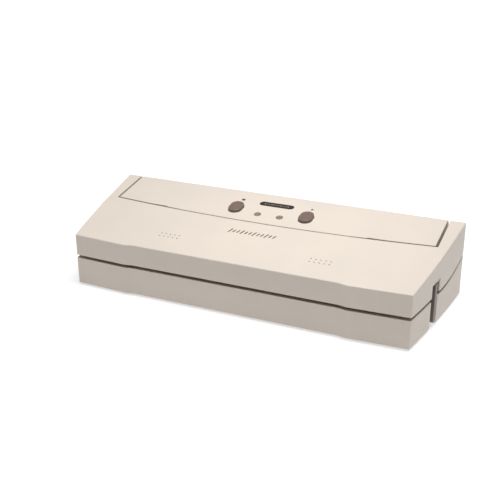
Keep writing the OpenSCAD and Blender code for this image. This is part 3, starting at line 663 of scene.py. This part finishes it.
MARK_COUNT = 12
MARK_PITCH = 4.6 * MM
MARK_WIDTH = 1.5 * MM
MARK_HEIGHT = 7.5 * MM
MARK_SLANT = 0.35
MARK_REACH = 58 * MM
DOT_RADIUS = 0.72 * MM
DOT_PITCH = 5.3 * MM
DOT_ROWS = 5.5 * MM
DOT_COUNT = 5
DOT_GROUP_X = 85.4 * MM
DOT_REACH = 28.5 * MM
TICK_COUNT = 13
TICK_PITCH = 2.3 * MM
TICK_WIDTH = 1.1 * MM
TICK_HEIGHT = 2.2 * MM
ICON_SIZE = 3.8 * MM
ICON_AWAY = 19.4 * MM
SCREW_SHANK = 1.4 * MM
SCREW_HEAD = 1.1 * MM
SCREW_ROUND = 0.35 * MM
SCREW_RECESS = 0.75 * MM
SCREW_PITCH = 1.0 * MM
SCREW_SIDES = 48


def panel_point(x, up, out=0.0):
    """A place on the sloping top: x, distance up the slope from the strip, and height above it."""
    centre = Vector((0.0, PANEL_ORIGIN.y, PANEL_ORIGIN.z))
    return centre + Vector((x, 0.0, 0.0)) + PANEL_UP * up + PANEL_OUT * out


def mesh_piece(name, bm, material):
    mesh = bpy.data.meshes.new(name)
    bmesh.ops.recalc_face_normals(bm, faces=bm.faces)
    bm.to_mesh(mesh)
    bm.free()
    mesh.materials.append(material)
    return link(bpy.data.objects.new(name, mesh))


def add_print(bm, outline, out, thickness=0.05 * MM, sunk=0.1 * MM):
    """A thin raised print: the outline is a list of (x, up) points on the sloping top."""
    rings = [
        [bm.verts.new(panel_point(x, up, out + level)) for x, up in outline]
        for level in (-sunk, thickness)
    ]
    bm.faces.new(rings[0][::-1])
    bm.faces.new(rings[1])
    for i in range(len(outline)):
        j = (i + 1) % len(outline)
        bm.faces.new((rings[0][i], rings[0][j], rings[1][j], rings[1][i]))


def disc(x, up, radius, count=16):
    turns = [2 * math.pi * i / count for i in range(count)]
    return [(x + radius * math.cos(t), up + radius * math.sin(t)) for t in turns]


def rounded_bar(x0, x1, up, height, count=6):
    """A bar with half-round ends."""
    r = min(height, x1 - x0) / 2
    right = [math.pi * (i / count - 0.5) for i in range(count + 1)]
    tall = max(0.0, height / 2 - r)

    def lift(t):
        return r * math.sin(t) + math.copysign(tall, math.sin(t))

    ends = [(x1 - r + r * math.cos(t), up + lift(t)) for t in right]
    return ends + [(x0 + r - r * math.cos(t), up - lift(t)) for t in right]


def add_lid_dots():
    """Two groups of printed dots near the front corners of the lid."""
    bm = bmesh.new()
    up = (FRONT_Y - PANEL_ORIGIN.y) / PANEL_UP.y + DOT_REACH
    for side in (-1, 1):
        for row in (-0.5, 0.5):
            for i in range(DOT_COUNT):
                x = side * DOT_GROUP_X + (i - (DOT_COUNT - 1) / 2) * DOT_PITCH
                add_print(bm, disc(x, up + row * DOT_ROWS, DOT_RADIUS), 0.0)
    dots = mesh_piece("lid_dots", bm, INK)
    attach(dots, "lid")


def add_lid_mark():
    """A plain ornament in the middle of the lid: a row of slanting strokes of two lengths."""
    bm = bmesh.new()
    up = (FRONT_Y - PANEL_ORIGIN.y) / PANEL_UP.y + MARK_REACH
    for i in range(MARK_COUNT):
        x = (i - MARK_COUNT / 2) * MARK_PITCH
        half = MARK_HEIGHT / 2 * (1.0 if i % 3 == 0 else 0.7)
        corners = ((0, -1), (1, -1), (1, 1), (0, 1))
        outline = [(x + dx * MARK_WIDTH + MARK_SLANT * dy * half, up + dy * half)
                   for dx, dy in corners]
        add_print(bm, outline, 0.0)
    mark = mesh_piece("lid_mark", bm, INK)
    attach(mark, "lid")


def add_button_icons():
    """A square behind the stop button and a triangle behind the start button."""
    bm = bmesh.new()
    half = ICON_SIZE / 2
    stop, start = (sum(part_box(name), Vector()) / 2 for name in ("stop_button", "start_button"))
    up = (stop.y - PANEL_ORIGIN.y) / PANEL_UP.y + ICON_AWAY
    square = [(-half, -half), (half, -half), (half, half), (-half, half)]
    triangle = [(-0.85 * half, -half), (half, 0.0), (-0.85 * half, half)]
    for x, shape in ((stop.x, square), (start.x, triangle)):
        add_print(bm, [(x + dx, up + dy) for dx, dy in shape], 0.0)
    icons = mesh_piece("button_icons", bm, INK)
    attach(icons, "base")


def add_strip_ticks():
    """Small pale ticks along the dark strip, as on a plain scale."""
    bm = bmesh.new()
    for i in range(TICK_COUNT):
        x = (i - (TICK_COUNT - 1) / 2) * TICK_PITCH
        height = TICK_HEIGHT * (1.0 if i % 4 == 0 else 0.6)
        add_print(bm, rounded_bar(x - TICK_WIDTH / 2, x + TICK_WIDTH / 2, 0.0, height), STRIP_TOP)
    ticks = mesh_piece("strip_ticks", bm, PALE_INK)
    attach(ticks, "base")


def loop_faces(bm, lower, upper):
    for i in range(len(lower)):
        j = (i + 1) % len(lower)
        bm.faces.new((lower[i], lower[j], upper[j], upper[i]))


def add_lathed(bm, centre, profile, count=48):
    """A closed solid of revolution about Z: the profile is (radius, height) from pole to pole."""
    turns = [2 * math.pi * i / count for i in range(count)]
    rings = []
    for radius, height in profile[1:-1]:
        rings.append([
            bm.verts.new(centre + Vector((radius * math.cos(t), radius * math.sin(t), height)))
            for t in turns
        ])
    for lower, upper in zip(rings, rings[1:]):
        loop_faces(bm, lower, upper)
    for ring, (_, height) in ((rings[0], profile[0]), (rings[-1], profile[-1])):
        pole = bm.verts.new(centre + Vector((0.0, 0.0, height)))
        for i in range(count):
            bm.faces.new((ring[i], ring[(i + 1) % count], pole))


def solids_of(name):
    """Centre, lowest and highest corner of each separate solid in a CAD node."""
    bm = bmesh.new()
    bm.from_mesh(frame["nodes"][name].data)
    bmesh.ops.remove_doubles(bm, verts=bm.verts, dist=WELD_DISTANCE)
    left = set(bm.verts)
    found = []
    while left:
        stack, group = [next(v for v in bm.verts if v in left)], []
        left.discard(stack[0])
        while stack:
            vertex = stack.pop()
            group.append(vertex.co.copy())
            for edge in vertex.link_edges:
                other = edge.other_vert(vertex)
                if other in left:
                    left.discard(other)
                    stack.append(other)
        low = Vector(min(co[k] for co in group) for k in range(3))
        high = Vector(max(co[k] for co in group) for k in range(3))
        found.append(((low + high) / 2, low, high))
    bm.free()
    return sorted(found, key=lambda item: (item[0].x, item[0].y))


def cross(length, width):
    """Outline of a plus sign, anticlockwise."""
    a, b = length / 2, width / 2
    quarter = [(a, -b), (a, b), (b, b)]
    points = []
    for turn in range(4):
        c, s = ((1, 0), (0, 1), (-1, 0), (0, -1))[turn]
        points += [(c * x - s * y, s * x + c * y) for x, y in quarter]
    return points


def add_screw(bm, centre, low, high, shank):
    """A pan-head tapping screw, head down, with a tapered cross recess and a ridged shank."""
    radius = (high.x - low.x) / 2
    axis = Vector((centre.x, centre.y, 0.0))

    def ring(r, z):
        turns = [2 * math.pi * i / SCREW_SIDES for i in range(SCREW_SIDES)]
        return [bm.verts.new(axis + Vector((r * math.cos(t), r * math.sin(t), z))) for t in turns]

    def plus(length, width, z):
        return [bm.verts.new(axis + Vector((x, y, z))) for x, y in cross(length, width)]

    mouth = plus(1.15 * radius, 0.30 * radius, low.z)
    floor = plus(0.70 * radius, 0.16 * radius, low.z + SCREW_RECESS)
    rim = ring(radius - SCREW_ROUND, low.z)
    edges = []
    for loop in (mouth, rim):
        for i in range(len(loop)):
            edges.append(bm.edges.new((loop[i], loop[(i + 1) % len(loop)])))
    bmesh.ops.triangle_fill(bm, edges=edges, use_beauty=True)
    loop_faces(bm, floor, mouth)
    bm.faces.new(floor)
    last = rim
    for r, z in (
        (radius - 0.3 * SCREW_ROUND, low.z + 0.3 * SCREW_ROUND), (radius, low.z + SCREW_ROUND),
        (radius, low.z + SCREW_HEAD), (shank, low.z + SCREW_HEAD),
    ):
        following = ring(r, z)
        loop_faces(bm, last, following)
        last = following
    z = low.z + SCREW_HEAD + SCREW_PITCH
    while z < high.z - SCREW_PITCH:
        for r, step in ((shank, 0.0), (1.12 * shank, 0.25), (shank, 0.5)):
            following = ring(r, z + step * SCREW_PITCH)
            loop_faces(bm, last, following)
            last = following
        z += SCREW_PITCH
    tip = ring(0.4 * shank, high.z)
    loop_faces(bm, last, tip)
    bm.faces.new(tip)


def add_screws(name, body):
    bm = bmesh.new()
    for centre, low, high in solids_of(name):
        add_screw(bm, centre, low, high, SCREW_SHANK)
    piece = mesh_piece(name + "_detail", bm, MATERIALS["steel"])
    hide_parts(name)
    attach(piece, body)


def add_feet():
    """Turned rubber feet with a rounded tread, a ring groove and a stem with a retaining lip."""
    bm = bmesh.new()
    for centre, low, high in solids_of("rubber_feet"):
        radius = (high.x - low.x) / 2
        stem = 0.36 * radius
        lip = 0.44 * radius
        thick = 2 * MM
        top = high.z - low.z
        edge = 0.12 * radius
        profile = [
            (0.0, 0.25 * MM), (0.45 * radius, 0.25 * MM), (0.52 * radius, 0.0),
            (0.62 * radius, 0.0), (0.66 * radius, 0.35 * MM), (0.72 * radius, 0.35 * MM),
            (0.76 * radius, 0.0), (radius - edge, 0.0), (radius - 0.3 * edge, 0.3 * edge),
            (radius, edge), (radius, thick - 0.2 * MM), (radius - 0.2 * MM, thick),
            (stem, thick), (stem, top - 1.5 * MM), (lip, top - 1.4 * MM), (lip, top - 1.0 * MM),
            (0.8 * stem, top), (0.0, top),
        ]
        add_lathed(bm, Vector((centre.x, centre.y, low.z)), profile)
    feet = mesh_piece("turned_feet", bm, MATERIALS["foot_rubber"])
    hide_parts("rubber_feet")
    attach(feet, "base")


# ---------------------------------------------------------------- assembly

add_camera()
add_world(WHITE, WORLD_STRENGTH)
add_sun("ceiling", *CEILING_LIGHT, WHITE)
add_softbox("softbox", SOFTBOX_PLACE, SOFTBOX_SIZE, SOFTBOX_POWER)
add_floor(FLOOR_HALF)
dress_nodes()
finish_edges()
add_lid_dots()
add_lid_mark()
add_button_icons()
add_strip_ticks()
add_screws("cover_screws", "base")
add_screws("lid_screws", "lid")
add_feet()

bpy.context.scene.view_settings.view_transform = "Standard"
